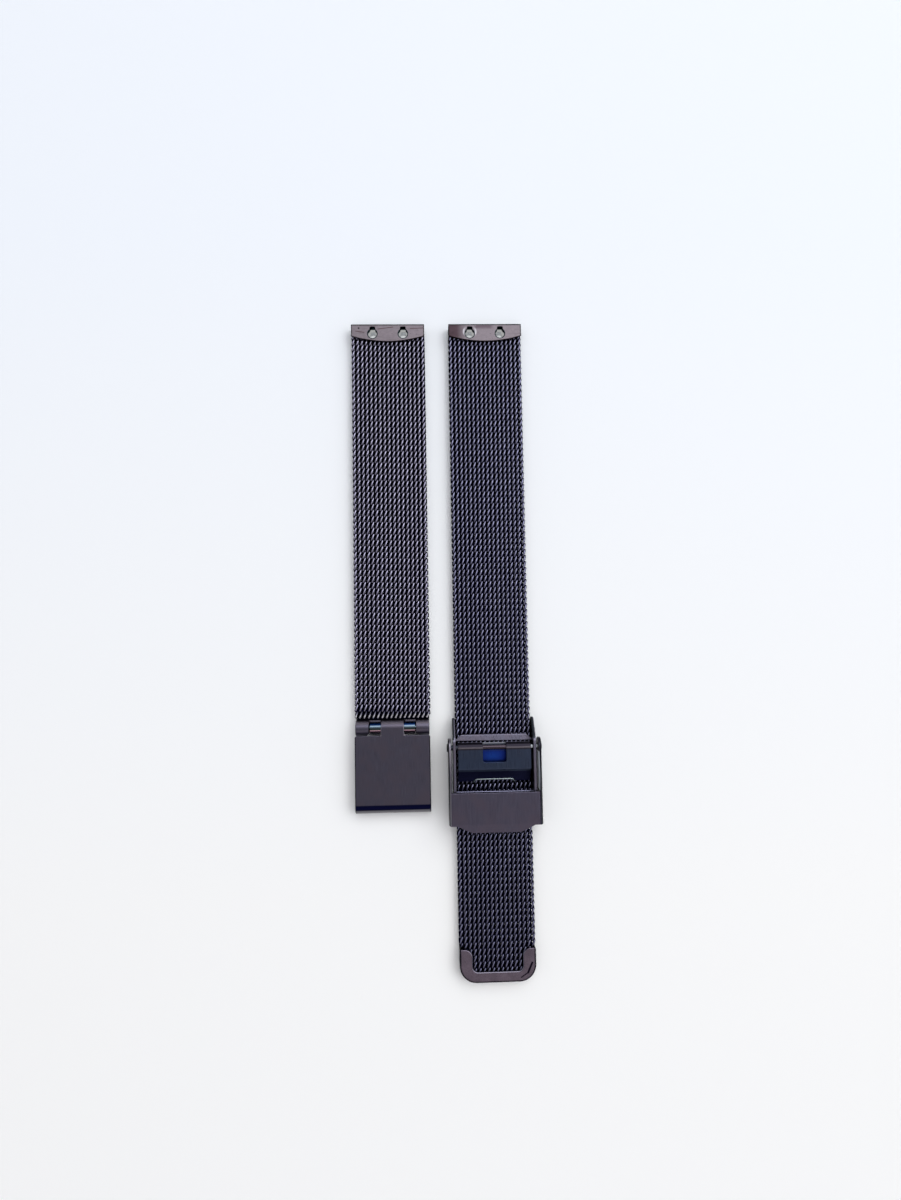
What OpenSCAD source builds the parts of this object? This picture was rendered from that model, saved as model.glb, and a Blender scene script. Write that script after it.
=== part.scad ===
/* [Mesh] */
// Width of the mesh band
strap_w = 12; // [11:0.5:16]
// Thickness of the mesh, over the wire bends
mesh_t = 1.3; // [1.24:0.02:1.4]
// Distance from one row of wire links to the next
row_pitch = 0.98; // [0.92:0.005:1.02]
// Rows of links in the short strap
short_rows = 64; // [52:1:76]
// Rows of links in the long strap between the end cap and the slider's stretch
upper_rows = 48; // [40:1:50]
// Rows of links in the stretch of the long strap that the slider runs on
tail_rows = 58; // [50:1:70]
// Free width between the two straps where they lie side by side
strap_gap = 4; // [3:0.5:10]

/* [End caps] */
// Thickness of the sheet of the end caps, the tip cap and the hinge clip
sheet_t = 0.38; // [0.3:0.02:0.42]
// Length of an end cap at its sides
cap_side = 2; // [1.9:0.1:2.4]
// How far the curved edge of an end cap bulges over the mesh in its middle
cap_crown = 0.92; // [0.8:0.04:1.2]
// Solid stretch of an end cap, ahead of the slot that holds the mesh
cap_root = 1.35; // [1.2:0.05:1.5]
// Radius of the folded front edge of an end cap
cap_fold_r = 0.3; // [0.1:0.05:0.4]
// Radius of the round part of a keyhole
keyhole_r = 0.72; // [0.6:0.02:0.76]
// Width of the keyhole's neck
neck_w = 0.9; // [0.7:0.05:1]
// Distance from the band's end to the middle of the keyholes
keyhole_at = 1.67; // [1.6:0.01:1.75]
// Distance from the band's end to the end of the keyhole's neck
neck_at = 0.5; // [0.4:0.05:0.6]
// Distance between the two keyholes
keyhole_spacing = 5; // [3.5:0.01:6.5]

/* [Hinge] */
// Outer radius of the hinge knuckles and of the cover plate's hook
knuckle_r = 1.25; // [1.2:0.01:1.35]
// Radius of the polished spring bar
bar_r = 0.92; // [0.88:0.01:0.95]
// Width of the cover plate's middle knuckle
mid_knuckle_w = 3.7; // [3:0.1:4.4]
// Width of the gap in which the bar shows, on each side of the middle knuckle
bar_gap_w = 1.87; // [1.4:0.01:2]
// Free length between the end of the mesh and the knuckles
mesh_to_knuckle = 0.2; // [0.15:0.01:0.5]
// Length of the clip's flange under the mesh
clip_flange = 2.4; // [1.6:0.1:4]
// Radius of the spring bar's tips
tip_r = 0.38; // [0.3:0.02:0.42]
// Depth of the blind holes in the clip's knuckles
tip_depth = 1; // [0.7:0.05:1.2]
// Outer radius of the small spring in the bar
spring_r = 0.5; // [0.44:0.01:0.53]
// Turns of the small spring
spring_turns = 12; // [6:1:16]

/* [Cover plate] */
// Thickness of the cover plate
cover_t = 0.4; // [0.34:0.02:0.46]
// Distance from the hinge axis to the axis of the plate's hook
cover_reach = 12.1; // [11:0.1:14]
// Distance from the hinge axis to the plate's shoulder
shoulder_at = 1.1; // [1.06:0.01:1.5]
// Corner radius of the plate's shoulder
shoulder_r = 0.33; // [0.2:0.01:0.5]

/* [Slider] */
// Distance from the long strap's end to the pivot pin
slider_at = 69; // [66:0.05:72]
// Radius of the pivot pin
pin_r = 0.4; // [0.3:0.02:0.42]
// Thickness of the slider's base plate
base_t = 0.35; // [0.3:0.01:0.35]
// Thickness of the slider's side arms
arm_t = 0.45; // [0.35:0.05:0.6]
// Length of the arms ahead of the pin
ear_reach = 4.4; // [3.9:0.1:4.6]
// Length of the arms behind the pin
arm_reach = 11.4; // [11:0.05:12.5]
// Height of the arms above the pin's axis
arm_rise = 0.95; // [0.8:0.05:1.1]
// Length of the front bridge over the mesh
front_bridge_len = 1; // [0.8:0.05:1.2]
// Distance from the pin to the front edge of the rear bridge
rear_bridge_at = 7; // [6.8:0.05:7.3]
// Length of the rear bridge over the mesh
rear_bridge_len = 3.2; // [2:0.1:3.6]
// Thickness of both bridges
bridge_t = 0.3; // [0.26:0.02:0.34]

/* [Fold cap] */
// Thickness of the fold cap's sheet
cap_t = 0.46; // [0.36:0.02:0.5]
// Gap between the slider's arms and the fold cap's walls
wall_gap = 0.3; // [0.15:0.05:0.4]
// Distance from the pin to the front edge of the fold cap's band
band_from = 6.7; // [6.3:0.05:7.2]
// Length of the band at its sides
band_len = 5.05; // [4:0.05:6]
// Length of the finger tab below the band
tab_len = 1.05; // [0.8:0.05:1.4]
// Radius of the fold cap's ears around the pin
ear_r = 1.45; // [1.2:0.05:1.45]
// Height of the lower edge of the fold cap's walls above the table
skirt_z = 1; // [0.6:0.1:1.2]
// Outer bend radius between the band and its walls
bend_r = 0.6; // [0.45:0.05:0.8]

/* [Lock plate] */
// Thickness of the lock plate
lock_t = 0.35; // [0.28:0.01:0.4]
// Width of the window in the lock plate
window_w = 3.65; // [3:0.05:4.5]
// Length of the window below the pin
window_len = 2.25; // [1.9:0.05:2.5]
// Distance from the pin to the bend of the lock plate
lock_bend = 3.35; // [3.15:0.05:3.45]
// Distance from the pin to the lower edge of the lock plate
lock_foot = 5.55; // [5.4:0.05:5.8]
// Width of the notch in the lock plate's lower edge
notch_w = 6.5; // [5:0.1:8]
// Height of that notch
notch_h = 0.42; // [0.3:0.02:0.5]

/* [Tip cap] */
// Width of the tip cap's side arms
tip_arm_w = 2.07; // [1.8:0.01:2.6]
// Length of the tip cap's side arms
tip_arm_len = 5.1; // [4.4:0.1:6]
// Length of the tip cap's rim under the middle of the mesh
tip_rim = 1.65; // [1.4:0.05:2]
// Outer corner radius of the tip cap
tip_corner_r = 2.6; // [2.2:0.1:3]

/* [Hidden] */

$fn = 48;
short_segments = 5;
upper_segments = 4;
satin = [0.26, 0.235, 0.275];
mauve = [0.5, 0.45, 0.49];
wire = [0.3, 0.3, 0.36];
polished = [0.6, 0.65, 0.75];

// Clearances
seat_gap = 0.02;
fit = 0.03;
joint_gap = 0.05;
slide_gap = 0.05;
side_gap = 0.075;
hook_gap = 0.05;
overrun = 1;

// Heights above the table
row_r = mesh_t / 2;
mesh_z = sheet_t + seat_gap;
mid_z = mesh_z + row_r;
mesh_top = mesh_z + mesh_t;
cap_h = mesh_top + seat_gap + sheet_t;
hinge_z = knuckle_r;
bridge_z = mesh_top + slide_gap;
pin_z = mesh_top + hook_gap + knuckle_r;
arm_top = pin_z + arm_rise;
band_z = pin_z + knuckle_r + hook_gap;
band_top = band_z + cap_t;

// Places along a strap, which runs from its watch end at 0 towards minus Y
first_row = cap_root + seat_gap + row_r;
long_rows = upper_rows + tail_rows;
short_mesh_end = first_row + (short_rows - 1) * row_pitch + row_r;
hinge_y = -(short_mesh_end + mesh_to_knuckle + knuckle_r);
hook_y = hinge_y - cover_reach;
tip_wall = 0.3;
tail_cut = 0.42;
long_mesh_end = first_row + (long_rows - 1) * row_pitch + row_r - tail_cut;
long_len = long_mesh_end + seat_gap + tip_wall;
pin_y = -slider_at;

// Half widths across a strap
half_w = strap_w / 2;
arm_in = half_w + side_gap;
arm_out = arm_in + arm_t;
wall_in = arm_out + wall_gap;
wall_out = wall_in + cap_t;
head_t = 0.15;
head_r = pin_r + 0.32;
pin_half = wall_out + fit + head_t;
lock_half = arm_in - 0.35;
lock_knuckle_r = pin_r + fit + lock_t;
cover_half = half_w - 0.05;
lug_in = mid_knuckle_w / 2 + bar_gap_w;
lug_out = half_w - 0.15;

// The origin is at the middle of the whole part's box, on the table
short_x = -(pin_half + strap_w + strap_gap + half_w) / 2 + half_w;
long_x = short_x + strap_w + strap_gap;
end_y = long_len / 2;

half_turn = 180;

function row_y(i) = -(first_row + i * row_pitch);
function short_from(k) = floor((k - 1) * short_rows / short_segments);
function upper_from(k) = floor((k - 1) * upper_rows / upper_segments);
function unit(v) = v / norm(v);

// The arc that rounds corner q, between its neighbours p and s, with radius q.z
function corner_arc(p, q, s, steps) =
    let (corner = [q.x, q.y],
         a = unit([p.x, p.y] - corner),
         b = unit([s.x, s.y] - corner),
         half = acos(a * b) / 2,
         centre = corner + unit(a + b) * q.z / sin(half),
         from = corner + a * q.z / tan(half) - centre,
         to = corner + b * q.z / tan(half) - centre,
         start = atan2(from.y, from.x),
         turn = (atan2(to.y, to.x) - start + 3 * half_turn) % (2 * half_turn) - half_turn)
    [for (i = [0:steps]) centre + q.z * [cos(start + turn * i / steps),
                                         sin(start + turn * i / steps)]];

// An outline whose corners are [x, y, radius], with radius 0 for a sharp one
function rounded(points, steps = 6) =
    [for (i = [0:len(points) - 1])
        let (p = points[(i + len(points) - 1) % len(points)],
             q = points[i],
             s = points[(i + 1) % len(points)])
        each q.z == 0 ? [[q.x, q.y]] : corner_arc(p, q, s, steps)];

// A profile drawn in the Y and Z of the strap, extruded across it
module across(x_low, x_high) {
    translate([x_low, 0, 0])
        rotate([90, 0, 90])
            linear_extrude(x_high - x_low) children();
}

module rod(r, x_low, x_high, y, z) {
    translate([x_low, y, z])
        rotate([0, 90, 0])
            cylinder(r = r, h = x_high - x_low);
}

module both_sides() {
    children();
    mirror([1, 0, 0]) children();
}

module keyhole_outline(grow) {
    translate([0, -keyhole_at]) circle(r = keyhole_r + grow);
    half_neck = neck_w / 2 + grow;
    polygon(rounded([[-half_neck, -keyhole_at, 0], [half_neck, -keyhole_at, 0],
                     [half_neck, -neck_at + grow, 0.2], [-half_neck, -neck_at + grow, 0.2]]));
}

module keyholes(grow) {
    for (side = [-1, 1])
        translate([side * keyhole_spacing / 2, 0, -overrun])
            linear_extrude(cap_h + 2 * overrun) keyhole_outline(grow);
}

module end_cap() {
    crown_r = (half_w * half_w + cap_crown * cap_crown) / (2 * cap_crown);
    crown_half = asin(half_w / crown_r);
    crown_steps = 24;
    lip = [for (i = [0:crown_steps])
        let (a = crown_half * (1 - 2 * i / crown_steps))
        [crown_r * sin(a), -(cap_side + cap_crown) + crown_r * (1 - cos(a))]];
    slot_far = -cap_side - cap_crown - overrun;
    difference() {
        intersection() {
            linear_extrude(cap_h)
                polygon(concat([[-half_w, 0], [half_w, 0]], lip));
            across(-half_w - overrun, half_w + overrun)
                polygon(rounded([[slot_far, 0, 0], [0, 0, cap_fold_r],
                                 [0, cap_h, cap_fold_r], [slot_far, cap_h, 0]]));
        }
        translate([-half_w - overrun, slot_far, sheet_t])
            cube([strap_w + 2 * overrun, -cap_root - slot_far, mesh_t + 2 * seat_gap]);
        keyholes(0);
    }
}

// Rows of links from the first to the last, each row a round rib across the band
module rows(first, last) {
    across(-half_w, half_w)
        for (i = [first:last])
            translate([row_y(i), mid_z]) circle(r = row_r);
}

// A stretch of mesh: its last row is the joint that the next stretch turns on
module mesh_stretch(first, last) {
    difference() {
        rows(first, last);
        if (first > 0)
            rod(row_r + joint_gap, -half_w - overrun, half_w + overrun, row_y(first - 1), mid_z);
        if (first == 0) keyholes(joint_gap);
    }
}

module short_mesh(k) {
    color(wire) on_short() mesh_stretch(short_from(k), short_from(k + 1) - 1);
}

module long_mesh(k) {
    color(wire) on_long() mesh_stretch(upper_from(k), upper_from(k + 1) - 1);
}

// The outline of the tip, seen from above; inset draws it smaller all round
module tip_outline(inset) {
    half = half_w - inset;
    r = tip_corner_r - inset;
    low = -long_len + inset;
    high = -(long_len - tip_arm_len);
    polygon(rounded([[-half, high, 0], [-half, low, r], [half, low, r], [half, high, 0]], 10));
}

module long_mesh_tail() {
    mesh_inset = tip_wall + seat_gap;
    tip_from = long_len - tip_arm_len;
    color(wire) on_long() intersection() {
        mesh_stretch(upper_rows, long_rows - 1);
        linear_extrude(cap_h) union() {
            tip_outline(mesh_inset);
            translate([-half_w, -tip_from - 0.01]) square([strap_w, tip_from]);
        }
    }
}

module tip_cap() {
    arm_in_x = half_w - tip_arm_w;
    arm_top_y = -(long_len - tip_arm_len);
    rim_y = -(long_len - tip_rim);
    far_x = half_w + overrun;
    color(mauve) on_long() difference() {
        linear_extrude(cap_h) difference() {
            tip_outline(0);
            polygon(rounded([[-far_x, arm_top_y + overrun, 0], [-far_x, arm_top_y, 0],
                             [-arm_in_x, arm_top_y, 1.2], [-arm_in_x, rim_y, 0.8],
                             [arm_in_x, rim_y, 0.8], [arm_in_x, arm_top_y, 1.2],
                             [far_x, arm_top_y, 0], [far_x, arm_top_y + overrun, 0]]));
        }
        translate([0, 0, sheet_t])
            linear_extrude(mesh_t + 2 * seat_gap) {
                tip_outline(tip_wall);
                translate([-half_w + tip_wall, arm_top_y - 0.01])
                    square([strap_w - 2 * tip_wall, overrun]);
            }
    }
}

module hinge_clip() {
    cradle_in = mid_knuckle_w / 2 + joint_gap;
    cradle_h = hinge_z - 0.45;
    lap = 0.2;
    corner_cut = 0.5;
    color(satin) on_short() difference() {
        union() {
            translate([-lug_out, -short_mesh_end, 0])
                cube([2 * lug_out, clip_flange, sheet_t]);
            both_sides() {
                rod(knuckle_r, lug_in, lug_out, hinge_y, hinge_z);
                translate([cradle_in, hinge_y, 0])
                    cube([lug_out - cradle_in, -short_mesh_end - hinge_y + lap, sheet_t]);
                intersection() {
                    rod(knuckle_r, cradle_in, lug_in + lap, hinge_y, hinge_z);
                    translate([cradle_in, hinge_y - knuckle_r, 0])
                        cube([lug_in + lap - cradle_in, 2 * knuckle_r, cradle_h]);
                }
            }
        }
        rod(tip_r + fit, -lug_in - tip_depth, lug_in + tip_depth, hinge_y, hinge_z);
        rod(bar_r + fit, -lug_in, lug_in, hinge_y, hinge_z);
        both_sides() translate([lug_in, hinge_y - knuckle_r, -overrun])
            linear_extrude(2 * knuckle_r + 2 * overrun)
                polygon([[-lap, -lap], [-lap, corner_cut], [0, corner_cut], [corner_cut, 0],
                         [corner_cut, -lap]]);
    }
}

// The tube's ends are turned in over the plungers' heads
bar_half = lug_in - 0.12;
bar_bore_r = bar_r - 0.3;
bar_end_t = 0.25;
plunger_len = 0.9;
plunger_travel = 0.6;
plunger_from = bar_half - bar_end_t - plunger_len;

module spring_bar_tube() {
    color(polished) on_short() difference() {
        rod(bar_r, -bar_half, bar_half, hinge_y, hinge_z);
        rod(bar_bore_r, -bar_half + bar_end_t, bar_half - bar_end_t, hinge_y, hinge_z);
        rod(tip_r + fit, -bar_half - overrun, bar_half + overrun, hinge_y, hinge_z);
    }
}

module plunger() {
    rod(bar_bore_r - fit, plunger_from, plunger_from + plunger_len, hinge_y, hinge_z);
    rod(tip_r, plunger_from, lug_in + tip_depth - 0.1, hinge_y, hinge_z);
}

module spring_bar_plunger_left() {
    color(polished) on_short() mirror([1, 0, 0]) plunger();
}

module spring_bar_plunger_right() {
    color(polished) on_short() plunger();
}

// The spring is drawn at its length with both plungers pressed in
module spring_bar_spring() {
    wire_r = 0.08;
    sides = 6;
    per_turn = 10;
    half_len = plunger_from - plunger_travel - 0.1 - wire_r;
    rings = spring_turns * per_turn;
    mean_r = spring_r - wire_r;
    points = [for (i = [0:rings])
        let (turn = 360 * i / per_turn, x = half_len * (2 * i / rings - 1))
        each [for (j = [0:sides - 1])
            let (a = 360 * j / sides, r = mean_r + wire_r * cos(a))
            [x + wire_r * sin(a), hinge_y + r * cos(turn), hinge_z + r * sin(turn)]]];
    skin = [for (i = [0:rings - 1], j = [0:sides - 1])
        let (k = (j + 1) % sides)
        each [[i * sides + j, (i + 1) * sides + j, (i + 1) * sides + k],
              [i * sides + j, (i + 1) * sides + k, i * sides + k]]];
    ends = [[for (j = [0:sides - 1]) j],
            [for (j = [sides - 1:-1:0]) rings * sides + j]];
    color(polished) on_short() polyhedron(points, concat(skin, ends));
}

module cover_plate() {
    shoulder_y = hinge_y - shoulder_at;
    neck_half = mid_knuckle_w / 2;
    lip_angle = 20;
    lip_far = 2 * knuckle_r;
    color(satin) on_short() difference() {
        union() {
            translate([0, 0, hinge_z + knuckle_r - cover_t])
                linear_extrude(cover_t)
                    polygon(rounded([[-cover_half, hook_y, 0], [cover_half, hook_y, 0],
                                     [cover_half, shoulder_y, shoulder_r],
                                     [neck_half, shoulder_y, 0.3], [neck_half, hinge_y, 0],
                                     [-neck_half, hinge_y, 0], [-neck_half, shoulder_y, 0.3],
                                     [-cover_half, shoulder_y, shoulder_r]]));
            rod(knuckle_r, -neck_half, neck_half, hinge_y, hinge_z);
            across(-cover_half, cover_half) difference() {
                translate([hook_y, hinge_z]) circle(r = knuckle_r);
                translate([hook_y, hinge_z]) circle(r = knuckle_r - cover_t);
                translate([hook_y, hinge_z])
                    polygon([[0, 0], [0, lip_far], [lip_far, lip_far], [lip_far, -lip_far],
                             [lip_far * sin(lip_angle), -lip_far * cos(lip_angle)]]);
            }
        }
        rod(bar_r + fit, -neck_half - overrun, neck_half + overrun, hinge_y, hinge_z);
    }
}

// Length of the sloping underside of the ears, behind which the base plate begins
toe_len = 1.2;

module arm_outline() {
    front = pin_y + ear_reach;
    rear = pin_y - arm_reach;
    toe_h = 0.7;
    ear_h = mesh_top - 0.1;
    slope_from = pin_y + 1.3;
    polygon(rounded([[rear, 0, 0.3], [front - toe_len, 0, 0.8], [front, toe_h, 0.4],
                     [front, ear_h, 0.5], [slope_from, arm_top, 1.6], [rear, arm_top, 0.6]]));
}

// Both bridges run into the arms by bridge_lap
bridge_lap = 0.1;

// The front bridge is dished towards its front edge and leaves room for the cover's hook
module front_bridge() {
    rear = pin_y + lock_knuckle_r + 0.06;
    front = rear + front_bridge_len;
    square_end = 0.25;
    cut = 0.9;
    dish = 0.13;
    end_x = arm_in + bridge_lap;
    intersection() {
        linear_extrude(arm_top)
            polygon([[-end_x, rear], [end_x, rear], [end_x, rear + square_end],
                     [arm_in, rear + square_end], [arm_in - cut, front], [cut - arm_in, front],
                     [-arm_in, rear + square_end], [-end_x, rear + square_end]]);
        across(-end_x, end_x)
            polygon(rounded([[rear, bridge_z, 0], [front, bridge_z, 0],
                             [front, bridge_z + bridge_t - dish, 0.06],
                             [rear, bridge_z + bridge_t, 0.06]]));
    }
}

module rear_bridge() {
    front = pin_y - rear_bridge_at;
    rear = front - rear_bridge_len;
    across(-arm_in - bridge_lap, arm_in + bridge_lap)
        polygon(rounded([[rear, bridge_z, 0], [front, bridge_z, 0],
                         [front, bridge_z + bridge_t, 0.2], [rear, bridge_z + bridge_t, 0.2]]));
}

module slider_channel() {
    front = pin_y + ear_reach - toe_len - 0.1;
    rear = pin_y - arm_reach + 0.3;
    color(satin) on_long() difference() {
        union() {
            linear_extrude(base_t)
                polygon(rounded([[-arm_out, rear, 0], [arm_out, rear, 0],
                                 [arm_out, front, 0.5], [-arm_out, front, 0.5]]));
            both_sides() across(arm_in, arm_out) arm_outline();
            front_bridge();
            rear_bridge();
        }
        rod(pin_r + fit, -arm_out - overrun, arm_out + overrun, pin_y, pin_z);
    }
}

module pivot_pin() {
    color(satin) on_long() {
        rod(pin_r, -pin_half + head_t, pin_half - head_t, pin_y, pin_z);
        both_sides() translate([pin_half - head_t, pin_y, pin_z])
            rotate([0, 90, 0]) cylinder(r1 = head_r, r2 = head_r - 0.15, h = head_t);
    }
}

// One sheet, rolled round the pin: the upper leg ends in the lip, the lower leg floors the window
module lock_plate() {
    top = pin_z + lock_knuckle_r;
    under = top - lock_t;
    foot_z = bridge_z;
    edge = 0.15;
    slope = atan2(top - foot_z - edge, lock_foot - lock_bend);
    inner_bend = lock_bend - lock_t * tan(slope / 2);
    inner_foot = inner_bend + (under - foot_z) / tan(slope);
    leg_len = window_len + 0.5;
    sill_z = pin_z - 0.35;
    half_window = window_w / 2;
    half_notch = notch_w / 2;
    color(satin) on_long() difference() {
        union() {
            rod(lock_knuckle_r, -lock_half, lock_half, pin_y, pin_z);
            across(-lock_half, lock_half) translate([pin_y, 0])
                polygon(rounded([[0, top, 0], [-lock_bend, top, 0.5], [-lock_foot, foot_z + edge, 0],
                                 [-lock_foot + edge, foot_z, 0], [-inner_foot, foot_z, 0],
                                 [-inner_bend, under, 0.15], [0, under, 0]]));
            translate([-lock_half, pin_y - leg_len, pin_z - lock_knuckle_r])
                cube([2 * lock_half, leg_len, lock_t]);
        }
        rod(pin_r + fit, -lock_half - overrun, lock_half + overrun, pin_y, pin_z);
        translate([0, pin_y, sill_z])
            linear_extrude(top)
                polygon(rounded([[-half_window, -window_len, 0.35], [half_window, -window_len, 0.35],
                                 [half_window, overrun, 0], [-half_window, overrun, 0]]));
        translate([0, pin_y - lock_foot, 0])
            linear_extrude(pin_z)
                polygon(rounded([[-half_notch, -overrun, 0], [half_notch, -overrun, 0],
                                 [half_notch, notch_h, 0.35], [-half_notch, notch_h, 0.35]]));
    }
}

module fold_wall_outline() {
    rear = pin_y - band_from - band_len;
    translate([pin_y, pin_z]) circle(r = ear_r);
    polygon(rounded([[pin_y, pin_z - ear_r, 0], [pin_y, pin_z + ear_r, 0],
                     [pin_y - band_from, band_top, 0], [rear, band_top, 0],
                     [rear, skirt_z, 0.5], [pin_y - band_from, skirt_z, 2]]));
}

module fold_cap() {
    front = pin_y - band_from;
    rear = front - band_len;
    tab_end = rear - tab_len;
    tab_drop = 0.1;
    tab_taper = 2.2;
    tab_half = half_w;
    tab_end_half = tab_half - tab_taper;
    color(satin) on_long() difference() {
        intersection() {
            union() {
                both_sides() across(wall_in, wall_out) fold_wall_outline();
                intersection() {
                    across(-wall_out, wall_out)
                        polygon(rounded([[front, band_top, 0], [front, band_z, 0],
                                         [rear + 0.3, band_z, 2], [tab_end - 0.1, band_z - tab_drop, 0],
                                         [tab_end - 0.1, band_top - tab_drop, 0],
                                         [rear + 0.3, band_top, 2]]));
                    linear_extrude(band_top + 1)
                        polygon(rounded([[-wall_out, front, 0], [-wall_out, rear, 0.4],
                                         [-tab_half, rear, 0.2], [-tab_end_half, tab_end, 0.5],
                                         [tab_end_half, tab_end, 0.5], [tab_half, rear, 0.2],
                                         [wall_out, rear, 0.4], [wall_out, front, 0]]));
                }
            }
            translate([0, pin_y + 2 * ear_r, 0])
                rotate([90, 0, 0])
                    linear_extrude(band_from + band_len + tab_len + 4 * ear_r)
                        polygon(rounded([[-wall_out, 0, 0], [wall_out, 0, 0],
                                         [wall_out, band_top, bend_r], [-wall_out, band_top, bend_r]]));
        }
        rod(pin_r + fit, -wall_out - overrun, wall_out + overrun, pin_y, pin_z);
    }
}

module on_short() {
    translate([short_x, end_y, 0]) children();
}

module on_long() {
    translate([long_x, end_y, 0]) children();
}

module short_end_cap() {
    color(mauve) on_short() end_cap();
}

module long_end_cap() {
    color(mauve) on_long() end_cap();
}

short_end_cap();
short_mesh(1);  // short_mesh_1
short_mesh(2);  // short_mesh_2
short_mesh(3);  // short_mesh_3
short_mesh(4);  // short_mesh_4
short_mesh(5);  // short_mesh_5
hinge_clip();
spring_bar_tube();
spring_bar_plunger_left();
spring_bar_plunger_right();
spring_bar_spring();
cover_plate();
long_end_cap();
long_mesh(1);  // long_mesh_1
long_mesh(2);  // long_mesh_2
long_mesh(3);  // long_mesh_3
long_mesh(4);  // long_mesh_4
long_mesh_tail();
tip_cap();
slider_channel();
pivot_pin();
lock_plate();
fold_cap();
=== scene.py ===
import math

import bpy
from mathutils import Matrix, Vector

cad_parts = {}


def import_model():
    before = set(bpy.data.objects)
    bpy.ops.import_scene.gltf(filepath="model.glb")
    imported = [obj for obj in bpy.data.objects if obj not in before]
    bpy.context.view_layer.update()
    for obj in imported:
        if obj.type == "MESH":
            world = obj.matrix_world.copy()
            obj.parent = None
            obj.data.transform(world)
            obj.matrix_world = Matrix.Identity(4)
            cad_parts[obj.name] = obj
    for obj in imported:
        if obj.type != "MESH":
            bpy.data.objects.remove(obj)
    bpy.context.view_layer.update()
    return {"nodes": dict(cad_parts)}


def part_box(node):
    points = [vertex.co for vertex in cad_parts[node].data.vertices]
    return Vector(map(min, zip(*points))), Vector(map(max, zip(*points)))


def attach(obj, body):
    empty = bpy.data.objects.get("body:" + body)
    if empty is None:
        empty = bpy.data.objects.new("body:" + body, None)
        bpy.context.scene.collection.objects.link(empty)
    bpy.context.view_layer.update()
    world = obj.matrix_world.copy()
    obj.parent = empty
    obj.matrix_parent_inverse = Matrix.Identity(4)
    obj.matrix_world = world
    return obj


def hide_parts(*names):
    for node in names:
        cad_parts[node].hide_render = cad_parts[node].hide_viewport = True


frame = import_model()

# Pieces are modelled in millimetres and brought to metres when they are done
MM = 0.001
MERGE = 0.02
# Slider channel and fold cap have tiny roundings, which a wider merge takes out
BENT_MERGE = 0.08
FLAT = math.radians(1)
SHARP = math.radians(32)


# Places on the band, in millimetres

def box_mm(node):
    low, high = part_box(node)
    return low / MM, high / MM


short_low, short_high = box_mm("short_end_cap")
long_low, long_high = box_mm("long_end_cap")
mesh_low, mesh_high = box_mm("short_mesh_2")
tip_low, tip_high = box_mm("tip_cap")
pin_low, pin_high = box_mm("pivot_pin")
cap_low, cap_high = box_mm("fold_cap")
plate_low, plate_high = box_mm("cover_plate")
channel_low, channel_high = box_mm("slider_channel")
lock_low, lock_high = box_mm("lock_plate")
bar_low, bar_high = box_mm("spring_bar_tube")

MID_X = {"short": (short_low.x + short_high.x) / 2, "long": (long_low.x + long_high.x) / 2}
LONG_X = MID_X["long"]
PLATE_X = (plate_low.x + plate_high.x) / 2
LOCK_X = (lock_low.x + lock_high.x) / 2
PIN_Y = (pin_low.y + pin_high.y) / 2
PIN_Z = (pin_low.z + pin_high.z) / 2
BAR_Y = (bar_low.y + bar_high.y) / 2
MID_Z = (mesh_low.z + mesh_high.z) / 2
HALF_W = (mesh_high.x - mesh_low.x) / 2
# Both straps end here at the watch; the wire's places along a strap are measured from it
WATCH_END = short_high.y
SHORT_END = box_mm("short_mesh_5")[0].y - WATCH_END

# An end cap's keyholes, from the watch's end and from the cap's middle; the wire keeps clear of their axes
KEYHOLE_AT = 1.67
KEYHOLE_X = 2.5
KEYHOLE_CLEAR = 0.78
KEYHOLE_Y = WATCH_END - KEYHOLE_AT
KEYHOLES = [(middle + side * KEYHOLE_X, KEYHOLE_Y) for middle in MID_X.values() for side in (-1, 1)]

# The tip cap's round corners and the wall round the wire in it
TIP_CORNER = 2.6
TIP_WALL = 0.32


# Working with Blender's operators

def select_only(*objects):
    bpy.ops.object.select_all(action="DESELECT")
    for thing in objects:
        thing.select_set(True)
    bpy.context.view_layer.objects.active = objects[0]


def apply_modifier(piece, kind, **settings):
    modifier = piece.modifiers.new(kind.lower(), kind)
    for name, value in settings.items():
        setattr(modifier, name, value)
    select_only(piece)
    bpy.ops.object.modifier_apply(modifier=modifier.name)


def joined(name, parts):
    select_only(*parts)
    if len(parts) > 1:
        bpy.ops.object.join()
    piece = bpy.context.view_layer.objects.active
    piece.name = name
    return piece


def settle(piece, body, slot, finish, *nodes):
    """Brings a finished piece to metres, gives it its finish, puts it on its body and hides the CAD nodes it
    stands for; its slot is not used
    """
    piece.data.transform(Matrix.Scale(MM, 4))
    piece.data.materials.clear()
    piece.data.materials.append(finish)
    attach(piece, body)
    if nodes:
        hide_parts(*nodes)
    return piece


# Node materials

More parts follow.
